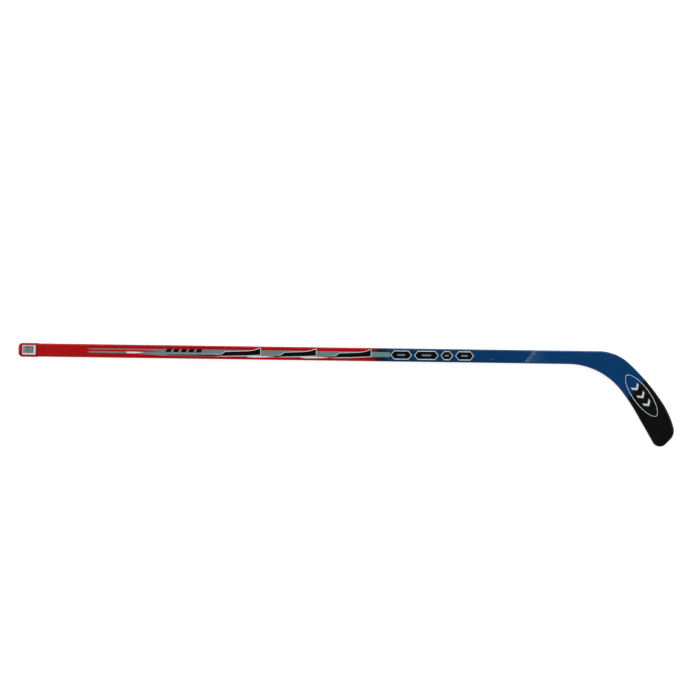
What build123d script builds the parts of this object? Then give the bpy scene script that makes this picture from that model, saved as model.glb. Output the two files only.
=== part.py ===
from build123d import *
from math import cos, radians, sin, sqrt
import os

# Ice hockey stick: laminated wooden shaft and blade, film, glass-fibre sleeve, butt cap, printed transfers.
#
# The stick lies flat on its back. +X runs from the butt to the blade, the blade turns towards -Y, and +Z is
# up, out of the front face. All sizes are in millimetres. Every shape is drawn with x = 0 at the butt and
# y = 0 on the shaft's centre line, then moved so that the origin is under the middle of the whole stick.

# Shaft section
SHAFT_WIDTH = 30.0
SHAFT_THICKNESS = 20.0
EDGE_RADIUS = 3.2
FILM = 0.4

# Shaft plies, as half thicknesses counted outwards from the middle plane
CENTRE_HALF = 3.0
CORE_HALF = 7.0
BIRCH_HALF = 9.0
WOOD_HALF = SHAFT_THICKNESS / 2 - FILM

# Butt cap and the label on it
CAP_LENGTH = 45.0
CAP_WALL = 0.9
CAP_SOLID_END = 9.0
CAP_CORNER_RADIUS = 10.0
CAP_MOUTH_RADIUS = 0.4
LABEL_START = 9.0
LABEL_LENGTH = 29.8
LABEL_HEIGHT = 21.0
LABEL_THICKNESS = 0.15

# Blade outline: arcs of (radius, turn in degrees), every one tangent to the one before
HEEL_X = 1302.0
HEEL_ARCS = ((102.0, 42.0), (489.0, 13.6), (190.0, 18.8), (27.5, 59.6))
THROAT_X = 1234.0
THROAT_ARCS = ((153.0, 51.3), (418.0, 8.2))
TOE_CORNER_RADIUS = 18.0

# Blade thickness, the taper down from the shaft and the blade's curve towards the back
HEEL_THICKNESS = 12.0
TOE_THICKNESS = 7.0
TOE_CLEARANCE = 0.13
TAPER_START = 1176.0
TAPER_END = 1272.0
TAPER_BLEND_RADIUS = 1000.0
HEEL_END = 1345.0
BLADE_ORIGIN = (1310.0, -35.0)
BLADE_ANGLE = -54.0
BLADE_START = -15.0
CURVE_START = 45.0
CURVE_END = 211.0

# Blade core, as half thicknesses at the heel and the toe, and where shaft plies and blade plies meet
CORE_AT_HEEL = CENTRE_HALF
CORE_AT_TOE = 1.6
PLY_JOINT = 20.0

# Fishtail joint between the shaft's centre ply and the blade's core
FISHTAIL_MOUTH = 1220.0
FISHTAIL_TIP = 1180.0

# Glass-fibre sleeve over the hosel and the blade, with a slanting upper end
SLEEVE_THICKNESS = 0.6
SLEEVE_PROUD = SLEEVE_THICKNESS - FILM
SLEEVE_TOP_X = 1154.0
SLEEVE_BOTTOM_X = 1136.0

# Printed transfers on the front face of the shaft
INK = 0.1
PRINT_HALF_WIDTH = 11.7
PINSTRIPE_START = 153.0
UPPER_PINSTRIPE = (3.2, 5.8)
LOWER_PINSTRIPE = (-4.4, -0.4)
WEDGE_START = 244.0
BAND_START = 322.0
BAND_END = 834.0
BAND_TOP = 6.2
BAND_BOTTOM = -8.8
BAND_RISE = (740.0, 793.0)
BAND_END_BOTTOM = -5.2
SABRE_TIPS = ((543.0, 213.0, -88.0), (668.0, 108.0, -79.0), (791.0, 111.0, -79.0))
SABRE_OUTLINE = 1.5
DASH_START = 330.0
DASH_COUNT = 5
DASH_PITCH = 17.0
GEMS = ((859.0, 22.5), (915.5, 26.0), (961.5, 12.5), (1001.0, 19.5))
GEM_HALF_HEIGHT = 8.0
GEM_OUTLINE = 2.0

# Emblem on the blade
BADGE_CENTRE = (1400.0, -84.4)
BADGE_ANGLE = -53.0
BADGE_HALF_LENGTH = 59.0
BADGE_HALF_WIDTH = 19.5
BADGE_STROKE = 1.6

# Shaft layers outside the centre ply: name, inner and outer distance from the middle, and where the layer is
# planed down to nothing along the taper. The last one reaches out to the surface of the wood.
SHAFT_LAYERS = (
    ("core_ply", CENTRE_HALF, CORE_HALF, 1400.0),
    ("birch_ply", CORE_HALF, BIRCH_HALF, 1233.0),
    ("glass_sheet", BIRCH_HALF, SHAFT_THICKNESS, 1183.0),
)

MID_Z = SHAFT_THICKNESS / 2 + CAP_WALL
FRONT_Z = MID_Z + SHAFT_THICKNESS / 2
FAR = 3000.0


def on_plane_both_ways(plane, face):
    """The face drawn on `plane`, made solid far to both sides of it."""
    return plane * extrude(face, FAR, both=True)


def prism(face, low=-50.0, high=50.0):
    """The plan face as a solid from height `low` to height `high`."""
    return Pos(0, 0, low) * extrude(face, high - low, dir=(0, 0, 1))


def level(low, high):
    """Everything between two heights, counted from the middle plane of the shaft."""
    return Pos(0, 0, MID_Z + (low + high) / 2) * Box(2 * FAR, 2 * FAR, high - low)


def arc_chain(start, arcs, inset):
    """Arcs that turn clockwise one after another from `start`, each radius smaller by `inset`."""
    chain = []
    point = start
    tangent = (1, 0)
    for radius, turn in arcs:
        arc = JernArc(point, tangent, radius - inset, -turn)
        chain.append(arc)
        point = arc @ 1
        tangent = arc % 1
    return chain


def crossing(point_a, way_a, point_b, way_b):
    """Where the line through `point_a` along `way_a` meets the line through `point_b` along `way_b`."""
    gap = point_b - point_a
    cross = way_a.X * way_b.Y - way_a.Y * way_b.X
    return point_a + way_a * ((gap.X * way_b.Y - gap.Y * way_b.X) / cross)


def plan(inset, start_x=0.0):
    """Outline of the whole stick seen from the front, moved inwards by `inset`."""
    half = SHAFT_WIDTH / 2 - inset
    outer = arc_chain((HEEL_X, half), HEEL_ARCS, inset)
    inner = arc_chain((THROAT_X, -half), THROAT_ARCS, -inset)
    toe = outer[-1] @ 1
    belly = inner[-1] @ 1
    corner = crossing(toe, outer[-1] % 1, belly, inner[-1] % 1)
    edges = Curve() + [
        Line((start_x, half), (HEEL_X, half)),
        *outer,
        Line(toe, corner),
        Line(corner, belly),
        *inner,
        Line((THROAT_X, -half), (start_x, -half)),
        Line((start_x, -half), (start_x, half)),
    ]
    face = make_face(edges)
    tip = face.vertices().sort_by_distance(corner)[0]
    return fillet(tip, TOE_CORNER_RADIUS - inset)


def tapering_shaft(half, heel_half):
    """Solid between the shaft's two tapering faces. It opens past the heel, where the blade takes over."""
    upper = [(-FAR, half), (TAPER_START, half), (TAPER_END, heel_half), (HEEL_END, heel_half)]
    lower = [(x, -z) for x, z in reversed(upper)]
    face = make_face(Polyline(*upper, *lower, close=True))
    bends = [v for v in face.vertices() if TAPER_START - 1 < v.X < TAPER_END + 1]
    face = fillet(bends, TAPER_BLEND_RADIUS)
    face += Pos(HEEL_END + FAR / 2, 0) * Rectangle(FAR, 200)
    return Pos(0, 0, MID_Z) * on_plane_both_ways(Plane.XZ, face)


def blade_plane():
    """Plane along the blade: its X runs down the blade from the heel and its Y is up."""
    way = Vector(cos(radians(BLADE_ANGLE)), sin(radians(BLADE_ANGLE)), 0)
    return Plane(origin=(*BLADE_ORIGIN, 0), x_dir=way, z_dir=way.cross(Vector(0, 0, 1)))


def blade_surface(start, heel_z, toe_z):
    """Line and arc of one blade surface: level from `start`, then curving down to `toe_z` at the toe."""
    run = CURVE_END - CURVE_START
    drop = heel_z - toe_z
    radius = (run * run + drop * drop) / (2 * drop)
    ends = []
    for reach in (run / 2 + 20, run + 40):
        sag = radius - sqrt(radius * radius - reach * reach)
        ends.append((CURVE_START + reach, heel_z - sag))
    return [Line((start, heel_z), (CURVE_START, heel_z)), ThreePointArc((CURVE_START, heel_z), *ends)]


def toe_height(half):
    """Height at the toe of a surface `half` away from the blade's middle."""
    return TOE_CLEARANCE + TOE_THICKNESS / 2 + half


def blade_slab(low, high, start=-400.0):
    """Solid between two blade surfaces, each given by its distance from the middle at heel and toe."""
    upper = blade_surface(start, MID_Z + high[0], toe_height(high[1]))
    lower = blade_surface(start, MID_Z + low[0], toe_height(low[1]))
    ends = [Line(upper[0] @ 0, lower[0] @ 0), Line(upper[1] @ 1, lower[1] @ 1)]
    return on_plane_both_ways(blade_plane(), make_face(Curve() + [*upper, *lower, *ends]))


def down_the_blade(start, end=FAR):
    """Everything between two stations along the blade."""
    return on_plane_both_ways(blade_plane(), Pos((start + end) / 2, 0) * Rectangle(end - start, 200))


def rim_edges(solid):
    """Edges where the upright side of the stick meets its front and back faces, without the butt end's."""
    sides = [face for face in solid.faces() if abs(face.normal_at().Z) < 1e-6]
    rims = []
    for face in sides:
        if abs(face.normal_at().X + 1) < 1e-6:
            continue
        rims += [edge for edge in face.edges() if abs(edge.tangent_at(0.5).Z) < 0.9]
    return rims


def stick_body(inset, start_x=0.0):
    """The whole shape from butt to toe with rounded edges, moved inwards by `inset` all round."""
    half = SHAFT_THICKNESS / 2 - inset
    heel = HEEL_THICKNESS / 2 - inset
    toe = TOE_THICKNESS / 2 - inset
    blade = blade_slab((-heel, -toe), (heel, toe), BLADE_START) + down_the_blade(-FAR, BLADE_START)
    solid = (prism(plan(inset, start_x)) & tapering_shaft(half, heel) & blade).solid()
    return fillet(rim_edges(solid), EDGE_RADIUS - inset)


def rounded_bar(start, end, inset):
    """Straight length of the shaft's rounded section, moved inwards by `inset`."""
    section = RectangleRounded(SHAFT_WIDTH - 2 * inset, SHAFT_THICKNESS - 2 * inset, EDGE_RADIUS - inset)
    return Pos(start, 0, MID_Z) * extrude(Plane.YZ * section, end - start, dir=(1, 0, 0))


def plan_polygon(*points):
    """Upright solid over a polygon in plan."""
    return prism(make_face(Polyline(*points, close=True)))


def past(start_x):
    """Everything on the blade's side of a square cut across the shaft."""
    return Pos(start_x + FAR / 2, 0, 0) * Box(FAR, FAR, FAR)


def past_sleeve_end():
    """Everything on the blade's side of the sleeve's slanting upper end."""
    half = SHAFT_WIDTH / 2
    slope = (SLEEVE_TOP_X - SLEEVE_BOTTOM_X) / (2 * half)
    reach = 3 * half
    top = SLEEVE_TOP_X + slope * (reach - half)
    bottom = SLEEVE_BOTTOM_X - slope * (reach - half)
    return plan_polygon((top, reach), (FAR, reach), (FAR, -FAR), (bottom, -FAR), (bottom, -reach))


def past_fishtail():
    """Everything on the blade's side of the V cut into the end of the shaft's centre ply."""
    return plan_polygon(
        (FISHTAIL_TIP, 0),
        (FISHTAIL_MOUTH, SHAFT_WIDTH / 2),
        (FISHTAIL_MOUTH, FAR / 2),
        (FAR, FAR / 2),
        (FAR, -FAR / 2),
        (FISHTAIL_MOUTH, -FAR / 2),
        (FISHTAIL_MOUTH, -SHAFT_WIDTH / 2),
    )


def below_shaft():
    """Everything in plan below the shaft's lower edge, where the throat widens."""
    edge = -SHAFT_WIDTH / 2 + FILM
    return plan_polygon((THROAT_X - 50, edge), (FAR, edge), (FAR, edge - FAR), (THROAT_X - 50, edge - FAR))


def shaft_and_blade_plies():
    """The wooden pieces and glass sheets: shaft plies, blade core, blade faces and throat wedges."""
    wood = stick_body(FILM, CAP_SOLID_END)
    blade_side = down_the_blade(PLY_JOINT)
    throat = below_shaft() - blade_side
    hosel = wood - blade_side - below_shaft()
    tongue = past_fishtail()
    core_slab = blade_slab((-CORE_AT_HEEL, -CORE_AT_TOE), (CORE_AT_HEEL, CORE_AT_TOE))
    face_slab = blade_slab((CORE_AT_HEEL, CORE_AT_TOE), (CORE_AT_HEEL + 9, CORE_AT_TOE + 9))
    back_slab = blade_slab((-CORE_AT_HEEL - 9, -CORE_AT_TOE - 9), (-CORE_AT_HEEL, -CORE_AT_TOE))
    plies = {
        "shaft_centre_ply": (wood & level(-CENTRE_HALF, CENTRE_HALF)) - tongue,
        "blade_core": wood & core_slab & tongue,
        "blade_front_ply": wood & face_slab & blade_side,
        "blade_back_ply": wood & back_slab & blade_side,
        "throat_front_wedge": wood & face_slab & throat,
        "throat_back_wedge": wood & back_slab & throat,
    }
    for name, near, far, end in SHAFT_LAYERS:
        kept = hosel - past(end)
        plies[f"shaft_front_{name}"] = kept & level(near, far)
        plies[f"shaft_back_{name}"] = kept & level(-far, -near)
    return plies


def film_wrap():
    """Printed film wrapped round the wooden shaft, from inside the cap to the sleeve's slanting end."""
    end = SLEEVE_TOP_X + 20
    tube = rounded_bar(CAP_SOLID_END, end, 0) - rounded_bar(CAP_SOLID_END - 1, end + 1, FILM)
    return tube - past_sleeve_end()


def glass_sleeve():
    """Glass-fibre sock over the hosel and the whole blade."""
    return (stick_body(-SLEEVE_PROUD) & past_sleeve_end()) - stick_body(FILM)


def butt_cap():
    """Moulded cap with a rounded closed end, pushed over the end of the shaft."""
    width = SHAFT_WIDTH + 2 * CAP_WALL
    block = Pos(CAP_LENGTH / 2, 0) * Rectangle(CAP_LENGTH, width)
    corners = block.vertices().group_by(Axis.X)[0]
    cap = prism(fillet(corners, CAP_CORNER_RADIUS), 0, SHAFT_THICKNESS + 2 * CAP_WALL)
    rims = [e for e in cap.edges() if abs(e.tangent_at(0.5).Z) < 0.9 and e.center().X < CAP_LENGTH - 0.1]
    cap = fillet(rims, EDGE_RADIUS + CAP_WALL)
    mouth = cap.faces().sort_by(Axis.X)[-1]
    cap = fillet(mouth.edges(), CAP_MOUTH_RADIUS)
    return cap - rounded_bar(CAP_SOLID_END, CAP_LENGTH + 1, 0)


def barcode_label():
    """Paper label on the front of the cap."""
    plate = RectangleRounded(LABEL_LENGTH, LABEL_HEIGHT, 1.0)
    low = FRONT_Z + CAP_WALL
    return prism(Pos(LABEL_START + LABEL_LENGTH / 2, 0) * plate, low, low + LABEL_THICKNESS)


def sabre_face(tip_x, tail, step, grow=0.0):
    """Sabre motif: a long thin tail, a rise at `step` and a blade that flares to a horn at `tip_x`."""
    outline = Curve() + [
        Line((-tail, -6.4), (step, -4.4)),
        Line((step, -4.4), (step + 9, 1.0)),
        Line((step + 9, 1.0), (-27, 2.8)),
        ThreePointArc((-27, 2.8), (-9, 5.8), (0, 10.2)),
        Line((0, 10.2), (0, -3.4)),
        Line((0, -3.4), (-93, -7.4)),
        Line((-93, -7.4), (-tail, -7.1)),
        Line((-tail, -7.1), (-tail, -6.4)),
    ]
    face = make_face(outline)
    if grow:
        face = offset(face, grow, kind=Kind.INTERSECTION)
    return Pos(tip_x, 0) * face


def gem_face(centre_x, half_length, half_height):
    """Long hexagon with a point at each end."""
    shoulder = half_length - half_height * 0.8
    quarter = [(half_length, 0), (shoulder, half_height), (-shoulder, half_height), (-half_length, 0)]
    ring = quarter + [(-shoulder, -half_height), (shoulder, -half_height)]
    return Pos(centre_x, 0) * make_face(Polyline(*ring, close=True))


def streak_face():
    """Silver streak: two pinstripes, a widening wedge and the broad band that carries the sabres."""
    low, high = UPPER_PINSTRIPE
    pin_length = BAND_START + 4 - PINSTRIPE_START
    middle_x = PINSTRIPE_START + pin_length / 2
    upper = Pos(middle_x, (low + high) / 2) * Rectangle(pin_length, high - low)
    low, high = LOWER_PINSTRIPE
    band = make_face(
        Polyline(
            (PINSTRIPE_START, high),
            (BAND_START, high),
            (BAND_START, BAND_TOP),
            (BAND_END, BAND_TOP),
            (BAND_END, BAND_END_BOTTOM),
            (BAND_RISE[1], BAND_END_BOTTOM),
            (BAND_RISE[0], BAND_BOTTOM),
            (BAND_START, BAND_BOTTOM),
            (WEDGE_START, low),
            (PINSTRIPE_START, low),
            close=True,
        )
    )
    face = upper + band
    for tip_x, _, step in SABRE_TIPS:
        face += sabre_face(tip_x, 100.0, step, SABRE_OUTLINE)
    limits = Pos(FAR / 2, 0) * Rectangle(FAR, 2 * PRINT_HALF_WIDTH)
    return face & limits


def ink_layer(faces, layer):
    """Faces in plan as an ink layer on the shaft's front face; `layer` 0 lies on the film, 1 on layer 0."""
    low = FRONT_Z + INK * layer
    return Part() + [prism(face, low, low + INK) for face in faces]


def dash_faces():
    """Short slanting dashes that fill the small printed line near the grip."""
    dash = make_face(Polyline((0, -0.3), (10.5, -0.3), (14, 6.0), (3.5, 6.0), close=True))
    return [Pos(DASH_START + index * DASH_PITCH, 0) * dash for index in range(DASH_COUNT)]


def blade_badge():
    """Oval outline with three chevrons inside it, printed on the front of the blade."""
    length, width = BADGE_HALF_LENGTH, BADGE_HALF_WIDTH
    art = Ellipse(length, width) - Ellipse(length - BADGE_STROKE, width - BADGE_STROKE)
    chevron = make_face(Polyline((-7, 9), (-1, 9), (7, 0), (-1, -9), (-7, -9), (1, 0), close=True))
    for x in (-22, 0, 22):
        art += Pos(x, 0) * chevron
    art = Pos(*BADGE_CENTRE) * Rot(0, 0, BADGE_ANGLE) * art
    heel = HEEL_THICKNESS / 2 + SLEEVE_PROUD
    toe = TOE_THICKNESS / 2 + SLEEVE_PROUD
    return prism(art) & blade_slab((heel, toe), (heel + INK, toe + INK))


def build_nodes():
    """Every piece of the stick by name, drawn at the butt."""
    nodes = {"butt_cap": butt_cap(), "barcode_label": barcode_label()}
    nodes.update(shaft_and_blade_plies())
    nodes["shaft_film_wrap"] = film_wrap()
    nodes["blade_glass_sleeve"] = glass_sleeve()
    nodes["streak_print"] = ink_layer([streak_face()], 0)
    nodes["sabre_print"] = ink_layer([sabre_face(*sabre) for sabre in SABRE_TIPS] + dash_faces(), 1)
    for name, grow, layer in (("gem_outline_print", GEM_OUTLINE, 0), ("gem_print", 0.0, 1)):
        gems = [gem_face(x, half + grow, GEM_HALF_HEIGHT + grow) for x, half in GEMS]
        nodes[name] = ink_layer(gems, layer)
    nodes["blade_badge_print"] = blade_badge()
    return nodes


def centred(nodes):
    """The nodes moved so that the origin is at the bottom, under the middle of them all."""
    box = Compound(children=[Compound(shape.solids()) for shape in nodes.values()]).bounding_box()
    shift = Pos(-box.center().X, -box.center().Y, -box.min.Z)
    return {name: shift * shape for name, shape in nodes.items()}


os.makedirs("parts", exist_ok=True)
for node_name, node_shape in centred(build_nodes()).items():
    export_step(node_shape, f"parts/{node_name}.step")
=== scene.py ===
import logging
from dataclasses import dataclass
from enum import Enum
from typing import Callable, Iterable, Sequence

import bpy
import numpy as np
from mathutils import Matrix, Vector


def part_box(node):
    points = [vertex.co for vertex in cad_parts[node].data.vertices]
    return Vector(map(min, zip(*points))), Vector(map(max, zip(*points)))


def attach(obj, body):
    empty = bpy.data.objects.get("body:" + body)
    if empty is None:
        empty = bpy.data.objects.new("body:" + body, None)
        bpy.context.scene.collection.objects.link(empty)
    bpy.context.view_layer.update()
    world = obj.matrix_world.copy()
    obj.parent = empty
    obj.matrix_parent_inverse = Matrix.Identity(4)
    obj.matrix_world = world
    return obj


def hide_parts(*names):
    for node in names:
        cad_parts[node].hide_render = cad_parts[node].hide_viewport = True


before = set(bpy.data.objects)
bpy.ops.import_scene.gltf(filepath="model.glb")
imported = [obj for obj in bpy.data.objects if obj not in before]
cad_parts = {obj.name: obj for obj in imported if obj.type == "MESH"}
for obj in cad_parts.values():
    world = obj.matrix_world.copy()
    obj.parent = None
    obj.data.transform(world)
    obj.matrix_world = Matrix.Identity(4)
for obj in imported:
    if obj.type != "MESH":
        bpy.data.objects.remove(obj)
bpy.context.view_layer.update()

# Ice hockey stick: butt cap with label, printed shaft, and blade in its painted glass-fibre sleeve.
#
# Shapes are drawn in millimetres, with x = 0 at the butt, y = 0 on the shaft's centre line and z = 0 on its
# middle plane, and are moved into the frame when they become meshes. The blade turns towards -y, and the
# front face is +z.

LOG = logging.getLogger("hockey_stick")
MM = 0.001
INK_THICKNESS = 0.03
INK_ROOT = 1.6  # depth of a plate, in ink thicknesses, below its upper face
PLATE_CELL = 6.0
THINNEST_PLATE = 0.06
PRINT_CREASE = 30.0
CAP_CREASE = 40.0
SKIN_CREASE = 60.0
Array = np.ndarray
Surface = Callable[[Array, Array], Array]
Colour = tuple[float, float, float, float]
Line = Sequence[tuple[float, float]]


def srgb(red: float, green: float, blue: float) -> Colour:
    """Linear colour of a display colour given as 0 to 255.

    Args:
        red: display red.
        green: display green.
        blue: display blue.

    Returns:
        Linear red, green and blue with alpha 1.
    """
    share = np.array([red, green, blue]) / 255.0
    linear = np.where(share <= 0.04045, share / 12.92, ((share + 0.055) / 1.055) ** 2.4)
    return (float(linear[0]), float(linear[1]), float(linear[2]), 1.0)


@dataclass(frozen=True)
class Datum:
    """Where the drawing's origin lies in the frame, in metres."""

    butt: float
    axis: float
    middle: float

    @classmethod
    def from_cap(cls) -> "Datum":
        """The datum read from the butt cap's box."""
        low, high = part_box("butt_cap")
        return cls(low.x, (low.y + high.y) / 2, (low.z + high.z) / 2)

    def place(self, points: Array) -> Array:
        """Move drawn points into the frame.

        Args:
            points: n x 3 points in millimetres.

        Returns:
            The points in metres.
        """
        return points * MM + np.array([self.butt, self.axis, self.middle])


DATUM = Datum.from_cap()


class Face(Enum):
    """Side of the stick that a print lies on, as the sign of z."""

    FRONT = 1
    BACK = -1


class Ink(Enum):
    """Inks of the prints."""

    SILVER = "silver_ink"
    PALE = "pale_ink"
    BLACK = "black_ink"
    RED = "red_ink"
    BADGE = "badge_ink"


# ------------------------------------------------------------ meshes


@dataclass
class Shell:
    """A closed skin: points in millimetres, and quads and triangles that index them."""

    points: Array
    quads: Array
    triangles: Array

    def volume(self) -> float:
        """Signed volume about the mean point: the sum of the corner products of all triangles over six.

        Returns:
            The volume, negative where the faces point inwards.
        """
        fans = [self.triangles, self.quads[:, [0, 1, 2]], self.quads[:, [0, 2, 3]]]
        corners = (self.points - self.points.mean(axis=0))[np.vstack(fans)]
        cross = np.cross(corners[:, 1], corners[:, 2])
        return float(np.einsum("ij,ij->i", corners[:, 0], cross).sum() / 6)

    def outward(self) -> "Shell":
        """The same skin with every face pointing out.

        Returns:
            This skin, or a turned copy.
        """
        if self.volume() < 0:
            return Shell(self.points, self.quads[:, ::-1], self.triangles[:, ::-1])
        return self


def join(shells: Sequence[Shell]) -> Shell:
    """Several skins as one, each turned outwards first.

    Args:
        shells: the separate closed skins.

    Returns:
        One skin holding them all.
    """
    parts = [shell.outward() for shell in shells]
    starts = np.cumsum([0] + [len(part.points) for part in parts[:-1]])
    return Shell(
        np.vstack([part.points for part in parts]),
        np.vstack([part.quads + start for part, start in zip(parts, starts)]),
        np.vstack([part.triangles + start for part, start in zip(parts, starts)]),
    )


def lattice(rows: Array) -> Array:
    """Quads between neighbouring rows and columns of an array of point numbers."""
    corners = (rows[:-1, :-1], rows[1:, :-1], rows[1:, 1:], rows[:-1, 1:])
    return np.stack(corners, axis=-1).reshape(-1, 4)


def plug(points: Array, loop: Array, steps: Sequence[tuple[float, float]]) -> tuple[Array, Array, Array]:
    """Close an open end with rings that each lie further in, and a fan of triangles about a pole.

    Each ring is the loop moved in by its inset along the loop's own normals in the y, z plane and pushed
    along x. The pole is the middle of the last ring. A step with no inset and no push halves the loop.

    Args:
        points: all points so far.
        loop: numbers of the points round the open end, in order.
        steps: inset and push of each ring, in millimetres.

    Returns:
        New points, quads and triangles. Their faces follow the loop's turn.
    """
    edge = points[loop]
    middle = edge.mean(axis=0)
    way = np.roll(edge, -1, axis=0) - np.roll(edge, 1, axis=0)
    normal = np.stack((np.zeros(len(loop)), -way[:, 2], way[:, 1]), axis=-1)
    normal /= np.linalg.norm(normal, axis=1)[:, None] + 1e-9
    inward = np.sign(((middle - edge) * normal).sum(axis=1))[:, None] * normal
    rings = [
        edge + inset * inward + np.array([push, 0.0, 0.0])
        if inset or push
        else middle + 0.5 * (edge - middle)
        for inset, push in steps
    ]
    count = len(loop)
    numbers = len(points) + np.arange(len(rings) * count).reshape(len(rings), count)
    rows = np.vstack((loop[None], numbers))
    pole = len(points) + numbers.size
    quads = lattice(np.hstack((rows, rows[:, :1])))
    last = rows[-1]
    fan = np.stack((last, np.full(count, pole), np.roll(last, -1)), axis=-1)
    return np.vstack((*rings, rings[-1].mean(axis=0)[None])), quads, fan


def tube(sections: Array) -> Shell:
    """Closed skin through a run of closed sections, with a half-size ring and a pole at each end.

    Args:
        sections: stations x points round the section x 3.

    Returns:
        The skin.
    """
    stations, around = sections.shape[:2]
    points = sections.reshape(-1, 3)
    numbers = np.arange(stations * around).reshape(stations, around)
    quads, fans = [lattice(np.hstack((numbers, numbers[:, :1])))], []
    for loop in (numbers[0][::-1], numbers[-1]):
        more, sides, fan = plug(points, loop, ((0.0, 0.0),))
        points = np.vstack((points, more))
        quads.append(sides)
        fans.append(fan)
    return Shell(points, np.vstack(quads), np.vstack(fans)).outward()


def sock(outer: Array, inner: Array) -> Shell:
    """Hollow tube: outer sections forwards, inner sections back, joined into one closed grid.

    Args:
        outer: stations x points round the section x 3.
        inner: the same for the inside.

    Returns:
        The skin.
    """
    sections = np.concatenate((outer, inner[::-1]))
    stations, around = sections.shape[:2]
    numbers = np.arange(stations * around).reshape(stations, around)
    wrapped = np.hstack((numbers, numbers[:, :1]))
    quads = lattice(np.vstack((wrapped, wrapped[:1])))
    return Shell(sections.reshape(-1, 3), quads, np.zeros((0, 3), int)).outward()


def rounded_ring(half_width: float, half_height: float, radius: float) -> tuple[Array, Array]:
    """Points round a rectangle with round corners: four quarter circles joined by split straight sides.

    Args:
        half_width: half size along y.
        half_height: half size along z.
        radius: corner radius.

    Returns:
        The y and the z of each point.
    """
    turn = np.radians(np.linspace(0, 90, 9))
    y_parts, z_parts = [], []
    for quarter, (side_y, side_z) in enumerate(((1, 1), (-1, 1), (-1, -1), (1, -1))):
        angle = turn + quarter * np.pi / 2
        y_parts.append(side_y * (half_width - radius) + radius * np.cos(angle))
        z_parts.append(side_z * (half_height - radius) + radius * np.sin(angle))
    share = np.linspace(0, 1, 8)[1:-1]
    y_line, z_line = [], []
    for number in range(4):
        follow = (number + 1) % 4
        y_line += [y_parts[number], y_parts[number][-1] + share * (y_parts[follow][0] - y_parts[number][-1])]
        z_line += [z_parts[number], z_parts[number][-1] + share * (z_parts[follow][0] - z_parts[number][-1])]
    return np.concatenate(y_line), np.concatenate(z_line)


def piece(
    name: str,
    shell: Shell,
    finish: bpy.types.Material,
    replaces: Sequence[str] = (),
    sharp_angle: float = 35.0,
    wall: float = 0.0,
) -> bpy.types.Object:
    """Make a skin into a finished piece that rides with the stick.

    Args:
        name: name of the piece.
        shell: its skin.
        finish: its material.
        replaces: CAD nodes that the piece stands for.
        sharp_angle: edges sharper than this many degrees stay crisp.
        wall: thickness of the wall in millimetres where the skin is open and hollow.

    Returns:
        The new object.
    """
    skin = shell.outward()
    places = DATUM.place(skin.points)
    mesh = bpy.data.meshes.new(name)
    corners = np.concatenate((skin.quads.ravel(), skin.triangles.ravel())).astype(np.int32)
    sizes = np.concatenate((np.full(len(skin.quads), 4), np.full(len(skin.triangles), 3))).astype(np.int32)
    mesh.vertices.add(len(places))
    mesh.vertices.foreach_set("co", places.astype(np.float32).ravel())
    mesh.loops.add(len(corners))
    mesh.loops.foreach_set("vertex_index", corners)
    mesh.polygons.add(len(sizes))
    mesh.polygons.foreach_set("loop_start", (np.cumsum(sizes) - sizes).astype(np.int32))
    mesh.polygons.foreach_set("use_smooth", np.ones(len(sizes), bool))
    mesh.update(calc_edges=True)
    mesh.validate()
    mesh.set_sharp_from_angle(angle=float(np.radians(sharp_angle)))
    mesh.materials.append(finish)
    made = bpy.data.objects.new(name, mesh)
    bpy.context.scene.collection.objects.link(made)
    if wall:
        inside = made.modifiers.new("wall", "SOLIDIFY")
        inside.thickness = wall * MM
        inside.offset = -1.0
    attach(made, "root")
    if replaces:
        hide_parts(*replaces)
    LOG.info("%s: %d faces", name, len(sizes))
    return made


# ------------------------------------------------------------ curves in plan


@dataclass(frozen=True)
class Trace:
    """Plane curve of straight and round runs: its heading changes evenly along each run."""

    start: tuple[float, float]
    runs: tuple[tuple[float, float], ...]

    @property
    def length(self) -> float:
        """Whole length of the curve."""
        return float(sum(length for length, _ in self.runs))

    def at(self, reach: Array) -> tuple[Array, Array]:
        """Points and headings along the curve.

        The heading is the running sum of the turns, and the point is the running integral of the heading's
        cosine and sine.

        Args:
            reach: distances along the curve.

        Returns:
            n x 2 points, and headings in radians.
        """
        knots = np.cumsum([0.0] + [length for length, _ in self.runs])
        turned = np.radians(np.cumsum([0.0] + [turn for _, turn in self.runs]))
        fine = np.linspace(0.0, self.length, 20001)
        heading = np.interp(fine, knots, turned)
        way = np.column_stack((np.cos(heading), np.sin(heading)))
        steps = (way[1:] + way[:-1]) / 2 * (fine[1] - fine[0])
        path = np.vstack((np.zeros(2), np.cumsum(steps, axis=0))) + np.array(self.start)
        points = np.column_stack([np.interp(reach, fine, path[:, axis]) for axis in (0, 1)])
        return points, np.interp(reach, fine, heading)


def arc(radius: float, turn: float) -> tuple[float, float]:
    """Length and turn, in degrees, of a round run. A negative turn is clockwise."""
    return radius * abs(float(np.radians(turn))), turn


@dataclass
class Rails:
    """Two edges of a slab that run side by side to its closed end, each with its inward normals."""

    left: Array
    left_normal: Array
    right: Array
    right_normal: Array
    shrink: Array


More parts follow.
